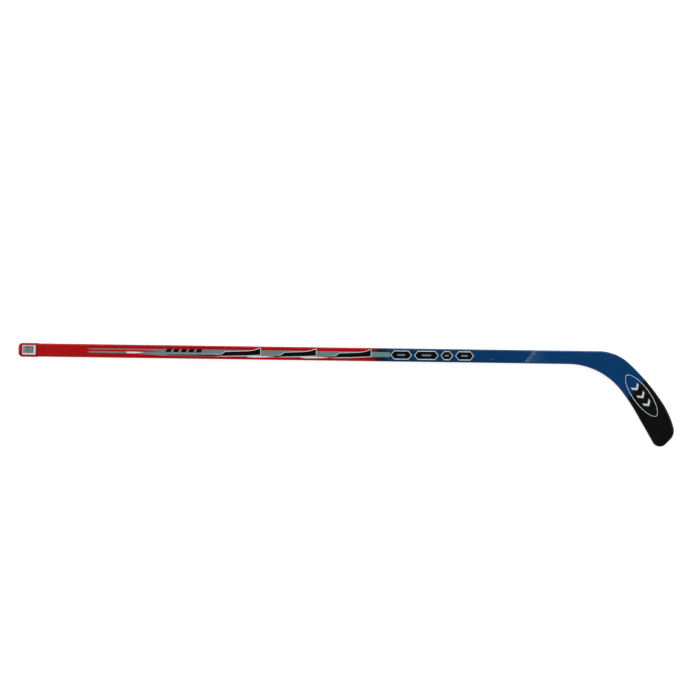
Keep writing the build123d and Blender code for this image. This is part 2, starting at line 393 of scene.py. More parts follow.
def rounded_slab(
    rails: Rails,
    across: int,
    radius: float,
    top: Surface,
    bottom: Surface,
    steps: Sequence[tuple[float, float]] = (),
) -> Shell:
    """Slab between two height surfaces with all its long edges rounded.

    The faces are grids of straight rungs from the left rail to the right rail. The rim is a grid round the
    rails: at angle t it is moved in by radius x (1 - sin t) and down by radius x (1 - cos t), which is a
    quarter circle from the face to the side, then straight down the side, and the same quarter circle below.

    Args:
        rails: the two edges; their last points are joined by a straight closed end.
        across: number of strips from rail to rail.
        radius: edge radius.
        top: height of the upper face at x, y.
        bottom: height of the lower face at x, y.
        steps: inset and push along x of the rings that close the open end; with none it stays open.

    Returns:
        The skin.
    """
    count = len(rails.left)
    share = np.linspace(0, 1, across + 1)
    end_normal = rails.left_normal[-1]
    end = rails.left[-1] + share[1:-1, None] * (rails.right[-1] - rails.left[-1])
    chain = np.vstack((rails.left, end, rails.right[::-1]))
    normal = np.vstack((rails.left_normal, np.tile(end_normal, (across - 1, 1)), rails.right_normal[::-1]))
    shrink = np.concatenate((rails.shrink, np.full(across - 1, rails.shrink[-1]), rails.shrink[::-1]))

    quarter = np.radians(np.linspace(0, 90, 9))
    turn_in = radius * (1 - np.sin(quarter))
    turn_out = radius * (1 - np.sin(quarter[::-1]))
    inset = np.concatenate((turn_in, np.zeros(3), turn_out))
    drop = radius * (1 - np.cos(quarter))
    plan = chain[None] + normal[None] * (inset[:, None, None] + shrink[None, :, None])
    upper = top(plan[..., 0], plan[..., 1]) - shrink
    lower = bottom(plan[..., 0], plan[..., 1]) + shrink
    side_top = upper[9:12] - radius
    side_bottom = lower[9:12] + radius
    side_share = np.array([0.25, 0.5, 0.75])[:, None]
    height = np.vstack(
        (
            upper[:9] - drop[:, None],
            side_top + side_share * (side_bottom - side_top),
            lower[12:] + drop[::-1, None],
        )
    )
    rim = np.dstack((plan, height))

    left_in = rails.left + rails.left_normal * (radius + rails.shrink[:, None])
    right_in = rails.right + rails.right_normal * (radius + rails.shrink[:, None])
    rungs = left_in[:, None] + share[None, :, None] * (right_in - left_in)[:, None]
    high = np.dstack((rungs, top(rungs[..., 0], rungs[..., 1]) - rails.shrink[:, None]))
    low = np.dstack((rungs, bottom(rungs[..., 0], rungs[..., 1]) + rails.shrink[:, None]))

    grid = np.arange(count * (across + 1)).reshape(count, across + 1)
    under = grid + grid.size
    inner_rows = rim[1:-1]
    side = 2 * grid.size + np.arange(inner_rows.shape[0] * len(chain)).reshape(inner_rows.shape[:2])
    upper_edge = np.concatenate((grid[:, 0], grid[-1, 1:-1], grid[::-1, -1]))
    rim_numbers = np.vstack((upper_edge, side, upper_edge + grid.size))
    points = np.vstack((high.reshape(-1, 3), low.reshape(-1, 3), inner_rows.reshape(-1, 3)))
    quads = [lattice(grid), lattice(under)[:, ::-1], lattice(rim_numbers)]

    fan = np.zeros((0, 3), int)
    if steps:
        loop = np.concatenate((grid[0], side[:, -1], under[0][::-1], side[::-1, 0]))
        more, sides, fan = plug(points, loop[::-1], steps)
        points = np.vstack((points, more))
        quads.append(sides)
    return Shell(points, np.vstack(quads), fan).outward()


# ------------------------------------------------------------ thin plates


@dataclass(frozen=True)
class Ground:
    """What a print lies on: its placing in plan and the height of the surface under it."""

    origin: tuple[float, float]
    angle: float
    surface: Surface
    side: Face = Face.FRONT

    def lay(self, along: Array, across: Array, lift: Array) -> Array:
        """Put drawn points on the surface.

        Args:
            along: distance along the print.
            across: distance across it, up the front face.
            lift: height over the surface.

        Returns:
            Points in millimetres. On the back the print is turned over about its own long axis.
        """
        sign = float(self.side.value)
        turn = np.radians(self.angle)
        flipped = across * sign
        x = self.origin[0] + along * np.cos(turn) - flipped * np.sin(turn)
        y = self.origin[1] + along * np.sin(turn) + flipped * np.cos(turn)
        return np.stack((x, y, self.surface(x, y) + sign * lift), axis=-1)


def strip(ground: Ground, along: Array, low: Array, high: Array, layer: int, shear: float = 0.0) -> Shell:
    """Thin plate between two edge lines, each a function of the distance along it.

    The section is a flat box from the low edge to the high edge. Its lower face lies just under the surface
    and its upper face one ink thickness higher for each layer.

    Args:
        ground: what it lies on.
        along: stations.
        low: lower edge at each station.
        high: upper edge at each station.
        layer: 0 for ink on the surface, 1 for ink on that, and so on.
        shear: how far the plate leans along its length for each millimetre across.

    Returns:
        The closed skin.
    """
    cuts = max(2, int(np.ceil(np.max(high - low) / PLATE_CELL)) + 1)
    share = np.linspace(0, 1, cuts)
    across = low[:, None] + share * (np.maximum(high, low + THINNEST_PLATE) - low)[:, None]
    stations = along[:, None] + shear * across
    lift = INK_THICKNESS * (layer + 1)
    upper = ground.lay(stations, across, np.full_like(across, lift))
    lower = ground.lay(stations, across, np.full_like(across, lift - INK_ROOT * INK_THICKNESS))
    return tube(np.concatenate((upper, lower[:, ::-1]), axis=1))


def grown(along: Array, low: Array, high: Array, margin: float) -> tuple[Array, Array, Array]:
    """Edge lines of a plate grown by a margin all round, as by rolling a disc of that radius along its edge.

    Args:
        along: stations.
        low: lower edge.
        high: upper edge.
        margin: radius of the disc.

    Returns:
        New stations, lower edge and upper edge.
    """
    close = np.arange(along[0], along[-1] + 0.01, 0.25)
    upper, lower = np.interp(close, along, high), np.interp(close, along, low)
    wide = np.linspace(along[0] - 0.98 * margin, along[-1] + 0.98 * margin, 260)
    gap = wide[:, None] - close[None]
    bulge = np.sqrt(np.clip(margin**2 - gap**2, 0, None))
    near = np.abs(gap) <= margin
    top = np.where(near, upper + bulge, -100.0).max(axis=1)
    base = np.where(near, lower - bulge, 100.0).min(axis=1)
    return wide, base, top


# ------------------------------------------------------------ finishes


class Recipe:
    """Node tree of one material, with a principled shader at its end."""

    def __init__(self, name: str) -> None:
        """Start the tree.

        Args:
            name: name of the material.
        """
        self.material = bpy.data.materials.new(name)
        self.material.use_nodes = True
        self.tree = self.material.node_tree
        self.shader = self.tree.nodes["Principled BSDF"]
        self.coordinates = self.tree.nodes.new("ShaderNodeTexCoord").outputs["Object"]

    def node(self, kind: str, **settings: object) -> bpy.types.Node:
        """A new node of a kind, with its settings.

        Args:
            kind: Blender's name of the node type.
            settings: properties to set on it.

        Returns:
            The node.
        """
        made = self.tree.nodes.new(kind)
        for key, value in settings.items():
            setattr(made, key, value)
        return made

    def feed(self, socket: bpy.types.NodeSocket, value: object) -> None:
        """Link an output, or set a plain value, on an input socket.

        Args:
            socket: input to fill.
            value: an output to link, or a plain value.
        """
        if isinstance(value, bpy.types.NodeSocket):
            self.tree.links.new(value, socket)
        else:
            socket.default_value = value

    def mapped(
        self, scale: Sequence[float], angle: float = 0.0, origin: Sequence[float] = (0, 0, 0)
    ) -> bpy.types.NodeSocket:
        """Object coordinates about an origin, turned about z and then scaled.

        Args:
            scale: factor along each axis.
            angle: turn in degrees.
            origin: point in the frame that becomes zero.

        Returns:
            The vector output.
        """
        moved = self.node("ShaderNodeVectorMath", operation="SUBTRACT")
        self.feed(moved.inputs[0], self.coordinates)
        moved.inputs[1].default_value = tuple(origin)
        turned = self.node("ShaderNodeVectorRotate", rotation_type="Z_AXIS")
        self.feed(turned.inputs["Vector"], moved.outputs[0])
        turned.inputs["Angle"].default_value = float(np.radians(-angle))
        scaled = self.node("ShaderNodeVectorMath", operation="MULTIPLY")
        self.feed(scaled.inputs[0], turned.outputs[0])
        scaled.inputs[1].default_value = tuple(scale)
        return scaled.outputs[0]

    def noise(
        self, vector: object, scale: float, detail: float = 2.0, rough: float = 0.5
    ) -> bpy.types.NodeSocket:
        """Noise value at a vector.

        Args:
            vector: where to read the noise.
            scale: its scale.
            detail: octaves.
            rough: weight of each next octave.

        Returns:
            The noise value.
        """
        made = self.node("ShaderNodeTexNoise")
        self.feed(made.inputs["Vector"], vector)
        made.inputs["Scale"].default_value = scale
        made.inputs["Detail"].default_value = detail
        made.inputs["Roughness"].default_value = rough
        return made.outputs["Fac"]

    def math(
        self, operation: str, first: object, second: object = 0.0, clamp: bool = False
    ) -> bpy.types.NodeSocket:
        """Result of a math node.

        Args:
            operation: what the node does.
            first: first operand.
            second: second operand.
            clamp: whether the result is held between 0 and 1.

        Returns:
            The result.
        """
        made = self.node("ShaderNodeMath", operation=operation, use_clamp=clamp)
        self.feed(made.inputs[0], first)
        self.feed(made.inputs[1], second)
        return made.outputs[0]

    def part(self, vector: bpy.types.NodeSocket, axis: str) -> bpy.types.NodeSocket:
        """One axis of a vector.

        Args:
            vector: the vector.
            axis: X, Y or Z.

        Returns:
            That axis.
        """
        made = self.node("ShaderNodeSeparateXYZ")
        self.feed(made.inputs[0], vector)
        return made.outputs[axis]

    def drawn(self, axis: str) -> bpy.types.NodeSocket:
        """One axis of the drawing's own coordinates, in millimetres."""
        return self.part(self.mapped((1000, 1000, 1000), origin=(DATUM.butt, DATUM.axis, DATUM.middle)), axis)

    def span(
        self, value: object, low: float, high: float, to_low: float = 0.0, to_high: float = 1.0
    ) -> bpy.types.NodeSocket:
        """Value mapped from one range to another, held at its ends.

        Args:
            value: value to map.
            low: start of its range.
            high: end of its range.
            to_low: result at the start.
            to_high: result at the end.

        Returns:
            The mapped value.
        """
        made = self.node("ShaderNodeMapRange", interpolation_type="SMOOTHSTEP")
        self.feed(made.inputs["Value"], value)
        for socket, number in zip(("From Min", "From Max", "To Min", "To Max"), (low, high, to_low, to_high)):
            made.inputs[socket].default_value = number
        return made.outputs["Result"]

    def ramp(self, value: object, stops: Sequence[tuple[float, Colour]]) -> bpy.types.NodeSocket:
        """Colour ramp with its stops.

        Args:
            value: place on the ramp.
            stops: place and colour of each stop, in order.

        Returns:
            The colour.
        """
        made = self.node("ShaderNodeValToRGB")
        elements = made.color_ramp.elements
        for _ in stops[2:]:
            elements.new(1.0)
        for element, (place, colour) in zip(elements, stops):
            element.position = place
            element.color = colour
        self.feed(made.inputs["Fac"], value)
        return made.outputs["Color"]

    def blend(self, factor: object, first: object, second: object, mode: str = "MIX") -> bpy.types.NodeSocket:
        """Two colours mixed.

        Args:
            factor: share of the second colour.
            first: first colour.
            second: second colour.
            mode: how they mix.

        Returns:
            The mixed colour.
        """
        made = self.node("ShaderNodeMix", data_type="RGBA", blend_type=mode)
        self.feed(made.inputs["Factor"], factor)
        self.feed(made.inputs["A"], first)
        self.feed(made.inputs["B"], second)
        return made.outputs["Result"]

    def bump(
        self, height: object, strength: float, depth: float, below: object = None
    ) -> bpy.types.NodeSocket:
        """Bumped normal; `depth` is in metres and `below` is a normal to bump further.

        Args:
            height: height to read.
            strength: share of the effect.
            depth: depth in metres.
            below: normal to bump further.

        Returns:
            The bumped normal.
        """
        made = self.node("ShaderNodeBump")
        self.feed(made.inputs["Height"], height)
        made.inputs["Strength"].default_value = strength
        made.inputs["Distance"].default_value = depth
        if below is not None:
            self.feed(made.inputs["Normal"], below)
        return made.outputs["Normal"]

    def finish(self, colour: object, rough: object, normal: object, **constants: float) -> bpy.types.Material:
        """Feed the shader and hand the material over.

        Args:
            colour: base colour.
            rough: roughness.
            normal: normal.
            constants: shader sockets by name, with _ for a space.

        Returns:
            The finished material.
        """
        self.feed(self.shader.inputs["Base Color"], colour)
        self.feed(self.shader.inputs["Roughness"], rough)
        self.feed(self.shader.inputs["Normal"], normal)
        self.shader.inputs["Emission Color"].default_value = (1.0, 1.0, 1.0, 1.0)
        for name, value in constants.items():
            self.shader.inputs[name.replace("_", " ")].default_value = value
        return self.material


@dataclass(frozen=True)
class GlossPaint:
    """Shared traits of lacquered surfaces."""

    roughness: float = 0.34
    coat: float = 0.35
    coat_roughness: float = 0.08
    specular: float = 0.1
    peel_depth: float = 0.00001

    def surface(self, recipe: Recipe, colour: object, wear: float = 1.0) -> bpy.types.Material:
        """Lacquer over a colour, with faint orange peel, lengthwise rubbing and hairline scratches.

        Args:
            recipe: the node tree.
            colour: colour under the lacquer.
            wear: how strong the rubbing is.

        Returns:
            The finished material.
        """
        peel = recipe.noise(recipe.mapped((1, 1, 1)), 900.0, 2.0)
        rub = recipe.noise(recipe.mapped((6, 160, 160)), 6.0, 4.0, 0.65)
        hair = recipe.noise(recipe.mapped((9, 900, 900), angle=3.0), 4.0, 2.0)
        lines = recipe.span(hair, 0.66, 0.72)
        cloud = recipe.noise(recipe.mapped((1, 1, 1)), 22.0, 3.0)
        rough = recipe.math("ADD", recipe.math("MULTIPLY", rub, 0.16 * wear), self.roughness - 0.08 * wear)
        rough = recipe.math("ADD", rough, recipe.math("MULTIPLY", lines, 0.18 * wear), clamp=True)
        shade = recipe.ramp(cloud, ((0.3, (0.9, 0.9, 0.9, 1.0)), (0.7, (1.0, 1.0, 1.0, 1.0))))
        tinted = recipe.blend(1.0, colour, shade, "MULTIPLY")
        scuffed = recipe.blend(recipe.math("MULTIPLY", lines, 0.035 * wear), tinted, (0.6, 0.6, 0.6, 1.0))
        low = recipe.bump(peel, 0.35, self.peel_depth)
        normal = recipe.bump(recipe.math("SUBTRACT", rub, lines), 0.25, self.peel_depth, low)
        return recipe.finish(
            scuffed,
            rough,
            normal,
            Coat_Weight=self.coat,
            Coat_Roughness=self.coat_roughness,
            Specular_IOR_Level=self.specular,
        )


# ------------------------------------------------------------ form


@dataclass(frozen=True)
class StickForm:
    """Plan outline and thickness of the stick. Arcs are pairs of radius and clockwise turn in degrees."""

    half_width: float = 15.0
    half_thickness: float = 10.0
    edge_radius: float = 3.2
    film: float = 0.4
    slant_top: float = 1154.0
    slant_bottom: float = 1136.0
    heel_x: float = 1302.0
    heel_arcs: tuple[tuple[float, float], ...] = ((102.0, 42.0), (489.0, 13.6), (190.0, 18.8), (27.5, 59.6))
    throat_x: float = 1234.0
    throat_arcs: tuple[tuple[float, float], ...] = ((153.0, 51.3), (418.0, 8.2))
    toe_corner: float = 18.0
    heel_half: float = 6.0
    toe_half: float = 3.5
    toe_clearance: float = 0.13
    rest_depth: float = 10.9
    taper_start: float = 1176.0
    taper_end: float = 1272.0
    taper_blend: float = 20.8
    blade_origin: tuple[float, float] = (1310.0, -35.0)
    blade_angle: float = -54.0
    curve_start: float = 45.0
    curve_end: float = 211.0

    def half_at(self, x: Array) -> Array:
        """Half thickness along the shaft: its slope ramps down, holds and ramps back, and is summed up.

        Args:
            x: places along the shaft.

        Returns:
            Half thicknesses.
        """
        steep = (self.half_thickness - self.heel_half) / (self.taper_end - self.taper_start)
        start, end, blend = self.taper_start, self.taper_end, self.taper_blend
        fine = np.linspace(start - blend, end + blend, 2001)
        knots = [start - blend, start + blend, end - blend, end + blend]
        slope = np.interp(fine, knots, [0, steep, steep, 0])
        drop = np.concatenate(([0.0], np.cumsum((slope[1:] + slope[:-1]) / 2 * np.diff(fine))))
        return self.half_thickness - np.interp(x, fine, drop)

    def sag(self, x: Array, y: Array, drop: float) -> Array:
        """How far a blade surface has curved down: the circle that has fallen by `drop` at the toe.

        Args:
            x: places along the shaft.
            y: places across it.
            drop: fall at the toe.

        Returns:
            How far the surface has fallen at each place.
        """
        turn = np.radians(self.blade_angle)
        along = (x - self.blade_origin[0]) * np.cos(turn) + (y - self.blade_origin[1]) * np.sin(turn)
        run = self.curve_end - self.curve_start
        radius = (run**2 + drop**2) / (2 * drop)
        reach = np.clip(along - self.curve_start, 0.0, 0.9 * radius)
        return radius - np.sqrt(radius**2 - reach**2)

    def top(self, x: Array, y: Array, grow: float = 0.0) -> Array:
        """Height of the front face, `grow` outside the film's surface."""
        drop = self.rest_depth + self.heel_half - self.toe_clearance - 2 * self.toe_half
        return self.half_at(x) + grow - self.sag(x, y, drop)

    def bottom(self, x: Array, y: Array, grow: float = 0.0) -> Array:
        """Height of the back face, `grow` outside the film's surface."""
        drop = self.rest_depth - self.heel_half - self.toe_clearance
        return -self.half_at(x) - grow - self.sag(x, y, drop)

    def slant_x(self, y: Array) -> Array:
        """Where the sleeve's upper end lies at a height on the face.

        Args:
            y: places across the shaft.

        Returns:
            Places along it.
        """
        flat = self.half_width - self.edge_radius
        share = np.clip(y / flat, -1.0, 1.0)
        return (self.slant_top + self.slant_bottom) / 2 + share * (self.slant_top - self.slant_bottom) / 2

    def blade_rails(self, grow: float, lead: float) -> Rails:
        """Outer and inner edge from the sleeve's slanting end to the toe.

        The outer edge runs straight to the heel and then along its arcs. The inner edge runs straight to the
        throat, along its arcs, along a straight belly and round the toe's corner, which is tangent to the
        belly and to the straight toe. Stations of the two edges are paired by a broken line.

        Args:
            grow: how far outside the film's surface the edges lie.
            lead: length at the slanting end that gets close stations.

        Returns:
            The two edges, without any shrink.
        """
        half = self.half_width + grow
        outer_runs = [(self.heel_x - self.slant_top, 0.0)]
        outer_runs += [arc(r + grow, -turn) for r, turn in self.heel_arcs]
        outer = Trace((self.slant_top, half), tuple(outer_runs))
        inner_runs = [(self.throat_x - self.slant_bottom, 0.0)]
        inner_runs += [arc(r - grow, -turn) for r, turn in self.throat_arcs]
        belly = Trace((self.slant_bottom, -half), tuple(inner_runs))
        ends, headings = zip(*(trace.at(np.array([trace.length])) for trace in (outer, belly)))
        ways = [np.array((np.cos(h[0]), np.sin(h[0]))) for h in headings]
        gap = ends[0][0] - ends[1][0]
        cross = ways[1][0] * ways[0][1] - ways[1][1] * ways[0][0]
        reach = float((gap[0] * ways[0][1] - gap[1] * ways[0][0]) / cross)
        turn = 180.0 + float(np.degrees(headings[0][0] - headings[1][0]))
        corner = self.toe_corner + grow
        straight = reach - corner * float(np.tan(np.radians(turn / 2)))
        inner = Trace(belly.start, belly.runs + ((straight, 0.0), arc(corner, turn)))
        heel = outer_runs[0][0]
        knee = heel + outer_runs[1][0]
        tip = outer.length - outer_runs[-1][0]
        throat = inner_runs[0][0]
        bend = throat + inner_runs[1][0] * self.heel_arcs[0][1] / self.throat_arcs[0][1]
        close = belly.length + straight
        left = np.concatenate(
            (
                np.linspace(0.0, lead, 25),
                np.linspace(lead, tip, 210)[1:],
                np.linspace(tip, outer.length, 19)[1:],
            )
        )
        left_knots = (0.0, lead, throat, knee, tip, outer.length)
        right_knots = (0.0, lead, throat, bend, close, inner.length)
        right = np.interp(left, left_knots, right_knots)
        left_points, left_heading = outer.at(left)
        right_points, right_heading = inner.at(right)
        return Rails(
            left_points,
            np.column_stack((np.sin(left_heading), -np.cos(left_heading))),
            right_points,
            np.column_stack((-np.sin(right_heading), np.cos(right_heading))),
            np.zeros(len(left)),
        )


FORM = StickForm()


# ------------------------------------------------------------ finishes of the parts


@dataclass(frozen=True)
class FilmFinish(GlossPaint):
    """Printed film: red that fades into blue through a dark band, under lacquer, with a small chip."""

    length: float = 1200.0
    chip: tuple[float, float] = (1062.5, -6.8)
    chip_size: tuple[float, float] = (6.5, 0.75)

    def material(self) -> bpy.types.Material:
        """Build the material.

        Returns:
            The finished material.
        """
        recipe = Recipe("shaft_film")
        along = recipe.drawn("X")
        drift = recipe.noise(recipe.mapped((30, 400, 400)), 2.0, 3.0)
        along = recipe.math("ADD", along, recipe.math("MULTIPLY", recipe.math("SUBTRACT", drift, 0.5), 9.0))
        share = recipe.math("DIVIDE", along, self.length, clamp=True)
        stops = (
            (45.0, srgb(156, 16, 20)),
            (300.0, srgb(158, 3, 5)),
            (776.0, srgb(158, 2, 6)),
            (795.0, srgb(120, 12, 16)),
            (805.0, srgb(44, 16, 22)),
            (814.0, srgb(16, 20, 34)),
            (824.0, srgb(8, 32, 64)),
            (836.0, srgb(4, 46, 88)),
            (1150.0, srgb(3, 52, 95)),
        )
        colour = recipe.ramp(share, tuple((place / self.length, tint) for place, tint in stops))
        around = (
            DATUM.butt + self.chip[0] * MM,
            DATUM.axis + self.chip[1] * MM,
            DATUM.middle + FORM.half_thickness * MM,
        )
        sizes = (1 / (self.chip_size[0] * MM), 1 / (self.chip_size[1] * MM), 300.0)
        spot = recipe.node("ShaderNodeVectorMath", operation="LENGTH")
        ragged = recipe.noise(recipe.mapped((1, 1, 1)), 900.0, 3.0)
        recipe.feed(spot.inputs[0], recipe.mapped(sizes, origin=around))
        distance = recipe.math("ADD", spot.outputs["Value"], recipe.math("MULTIPLY", ragged, 0.9))
        chipped = recipe.span(distance, 1.5, 1.3)
        colour = recipe.blend(recipe.math("MULTIPLY", chipped, 0.75), colour, srgb(128, 34, 48))
        return self.surface(recipe, colour)


@dataclass(frozen=True)
class SleeveFinish(GlossPaint):
    """Painted glass-fibre sock, blue then black past a slanting line, with the weave showing through, and
    with painted highlights at its slanting end and along its upper edge.
    """

    edge: tuple[float, float] = (1384.0, -70.0)
    across: float = -39.8
    fade: float = 15.0

    def material(self) -> bpy.types.Material:
        """Build the material.

        Returns:
            The finished material.
        """
        recipe = Recipe("blade_sleeve")
        place = (DATUM.butt + self.edge[0] * MM, DATUM.axis + self.edge[1] * MM, 0.0)
        past = recipe.part(recipe.mapped((1000, 1000, 1000), angle=self.across, origin=place), "X")
        cloud = recipe.noise(recipe.mapped((1, 1, 1)), 60.0, 4.0, 0.6)
        past = recipe.math("ADD", past, recipe.math("MULTIPLY", recipe.math("SUBTRACT", cloud, 0.5), 12.0))
        dark = recipe.span(past, -self.fade / 2, self.fade / 2)
        along = recipe.drawn("X")
        streak = recipe.noise(recipe.mapped((14, 420, 420)), 3.0, 4.0, 0.6)
        pale = recipe.math("MULTIPLY", recipe.span(along, 1195.0, 1150.0), recipe.span(streak, 0.42, 0.66))
        blue = recipe.blend(recipe.math("MULTIPLY", pale, 0.35), srgb(5, 53, 98), srgb(80, 120, 150))
        deep = recipe.math("MULTIPLY", recipe.span(streak, 0.5, 0.8), 0.25)
        blue = recipe.blend(deep, blue, srgb(3, 40, 76))
        beside = recipe.drawn("Y")
        above = recipe.drawn("Z")
        slant = recipe.math("MULTIPLY_ADD", beside, -0.763)
        recipe.feed(slant.node.inputs[2], along)
        patchy = recipe.noise(recipe.mapped((1, 1, 1)), 260.0, 3.0, 0.7)
        # Painted highlight: a patchy pale band over the first few millimetres of the sleeve, where the low
        # ridge at its slanting end catches the light.
        ridge = recipe.math("MULTIPLY", recipe.span(slant, 1158.0, 1150.0), recipe.span(patchy, 0.4, 0.6))
        blue = recipe.blend(recipe.math("MULTIPLY", ridge, 0.4), blue, srgb(120, 138, 152))
        # Painted highlight: patchy pale blue along the upper rounded edge, from the sleeve's end to about x =
        # 1300 and on the front half only, where that edge catches the key light.
        painted_edge_highlight = recipe.math("MULTIPLY", recipe.span(beside, 12.4, 13.6), recipe.span(along, 1330.0, 1280.0))
        painted_edge_highlight = recipe.math("MULTIPLY", painted_edge_highlight, recipe.span(streak, 0.3, 0.52, 0.35, 1.0))
        painted_edge_highlight = recipe.math("MULTIPLY", painted_edge_highlight, recipe.span(patchy, 0.3, 0.55, 0.45, 1.0))
        painted_edge_highlight = recipe.math("MULTIPLY", painted_edge_highlight, recipe.span(above, 1.0, 4.5))
        blue = recipe.blend(recipe.math("MULTIPLY", painted_edge_highlight, 0.45), blue, srgb(96, 140, 176))
        colour = recipe.blend(dark, blue, srgb(10, 10, 11))
        made = self.surface(recipe, colour, wear=1.3)
        weave = [
            recipe.math("SINE", recipe.part(recipe.mapped((2600, 2600, 2600), angle=turn), "X"))
            for turn in (-9.0, 81.0)
        ]
        cloth = recipe.math("MULTIPLY", weave[0], weave[1])
        normal = recipe.bump(cloth, 0.35, 0.00003, self_normal(recipe))
        recipe.feed(recipe.shader.inputs["Normal"], normal)
        return made


def self_normal(recipe: Recipe) -> bpy.types.NodeSocket:
    """The normal that already feeds the shader."""
    return recipe.shader.inputs["Normal"].links[0].from_socket


@dataclass(frozen=True)
class CapFinish(GlossPaint):
    """Moulded red plastic of the butt cap."""

    tint: Colour = srgb(158, 12, 16)

    def material(self) -> bpy.types.Material:
        """Build the material.

        Returns:
            The finished material.
        """
        recipe = Recipe("butt_cap_plastic")
        flow = recipe.noise(recipe.mapped((20, 60, 60)), 4.0, 3.0)
        deep = recipe.blend(recipe.span(flow, 0.3, 0.7), self.tint, srgb(146, 8, 16))
        made = self.surface(recipe, deep, wear=0.8)
        above = recipe.drawn("Z")
        seam = recipe.span(recipe.math("ABSOLUTE", above), 0.3, 0.1)
        recipe.feed(recipe.shader.inputs["Normal"], recipe.bump(seam, 0.6, 0.00006, self_normal(recipe)))
        return made


@dataclass(frozen=True)
class PaperFinish:
    """Satin label paper with fibres and a slight yellowing."""

    tint: Colour = srgb(176, 190, 186)

    def material(self) -> bpy.types.Material:
        """Build the material.

        Returns:
            The finished material.
        """
        recipe = Recipe("label_paper")
        fibre = recipe.noise(recipe.mapped((1, 2.2, 1)), 1400.0, 4.0, 0.7)
        cloud = recipe.noise(recipe.mapped((1, 1, 1)), 90.0, 3.0)
        colour = recipe.blend(recipe.span(cloud, 0.35, 0.7), self.tint, srgb(158, 176, 172))
        colour = recipe.blend(recipe.math("MULTIPLY", fibre, 0.25), colour, srgb(210, 220, 212))
        rough = recipe.math("ADD", recipe.math("MULTIPLY", fibre, 0.2), 0.42)
        return recipe.finish(colour, rough, recipe.bump(fibre, 0.3, 0.00001), Specular_IOR_Level=0.35)


@dataclass(frozen=True)
class InkFinish:
    """Printed ink under the same lacquer as the film, with a fine dot grain and rubbed specks."""

    name: str
    tint: Colour
    second: Colour
    metallic: float = 0.0
    roughness: float = 0.3

    def material(self) -> bpy.types.Material:
        """Build the material.

        Returns:
            The finished material.
        """
        recipe = Recipe(self.name)
        grain = recipe.noise(recipe.mapped((1, 1, 1)), 2600.0, 2.0)
        band = recipe.noise(recipe.mapped((5, 260, 260)), 4.0, 4.0, 0.6)
        colour = recipe.blend(recipe.span(band, 0.35, 0.68), self.tint, self.second)
        specks = recipe.math("MULTIPLY", recipe.span(grain, 0.45, 0.75), 0.3)
        colour = recipe.blend(specks, colour, self.second)
        rough = recipe.math("ADD", recipe.math("MULTIPLY", band, 0.2), self.roughness - 0.1)
        normal = recipe.bump(grain, 0.2, 0.000006, recipe.bump(band, 0.2, 0.00001))
        return recipe.finish(
            colour,
            rough,
            normal,
            Metallic=self.metallic,
            Coat_Weight=0.35,
            Coat_Roughness=0.08,
            Specular_IOR_Level=0.1,
        )


@dataclass(frozen=True)
class WoodFinish:
    """Sanded ply: growth rings drawn out along the grain, pores and a slow change of tone."""

    name: str
    pale: Colour
    dark: Colour
    ring_scale: float = 90.0
    turn: float = 0.0

    def material(self) -> bpy.types.Material:
        """Build the material.

        Returns:
            The finished material.
        """
        recipe = Recipe(self.name)
        place = recipe.mapped((0.06, 1.0, 1.0), angle=self.turn)
        bend = recipe.noise(place, 40.0, 3.0)
        rings = recipe.node("ShaderNodeTexWave", wave_type="BANDS", bands_direction="Y")
        recipe.feed(rings.inputs["Vector"], place)
        rings.inputs["Scale"].default_value = self.ring_scale
        rings.inputs["Distortion"].default_value = 5.0
        rings.inputs["Detail"].default_value = 3.0
        pores = recipe.noise(recipe.mapped((40, 900, 900), angle=self.turn), 2.0, 3.0, 0.7)
        colour = recipe.blend(recipe.math("MULTIPLY", rings.outputs["Fac"], 0.7), self.pale, self.dark)
        colour = recipe.blend(recipe.math("MULTIPLY", recipe.span(pores, 0.55, 0.75), 0.5), colour, self.dark)
        colour = recipe.blend(recipe.math("MULTIPLY", bend, 0.25), colour, self.pale)
        rough = recipe.math("ADD", recipe.math("MULTIPLY", pores, 0.25), 0.45)
        return recipe.finish(colour, rough, recipe.bump(pores, 0.3, 0.00002), Specular_IOR_Level=0.3)


@dataclass(frozen=True)
class GlassFinish:
    """Resin-bonded glass cloth: two crossing sets of strands in a pale greenish resin."""

    name: str = "glass_laminate"

    def material(self) -> bpy.types.Material:
        """Build the material.

        Returns:
            The finished material.
        """
        recipe = Recipe(self.name)
        strands = [
            recipe.math("SINE", recipe.part(recipe.mapped((3100, 3100, 3100), angle=turn), "X"))
            for turn in (0.0, 90.0)
        ]
        cloth = recipe.math("MULTIPLY_ADD", strands[0], strands[1])
        cloud = recipe.noise(recipe.mapped((1, 1, 1)), 120.0, 3.0)
        colour = recipe.blend(recipe.span(cloth, -1.0, 1.0), srgb(188, 190, 168), srgb(214, 216, 202))
        colour = recipe.blend(recipe.math("MULTIPLY", cloud, 0.3), colour, srgb(170, 168, 138))
        rough = recipe.math("ADD", recipe.math("MULTIPLY", cloud, 0.25), 0.3)
        return recipe.finish(colour, rough, recipe.bump(cloth, 0.4, 0.00003), Specular_IOR_Level=0.5)


# ------------------------------------------------------------ sub-assemblies


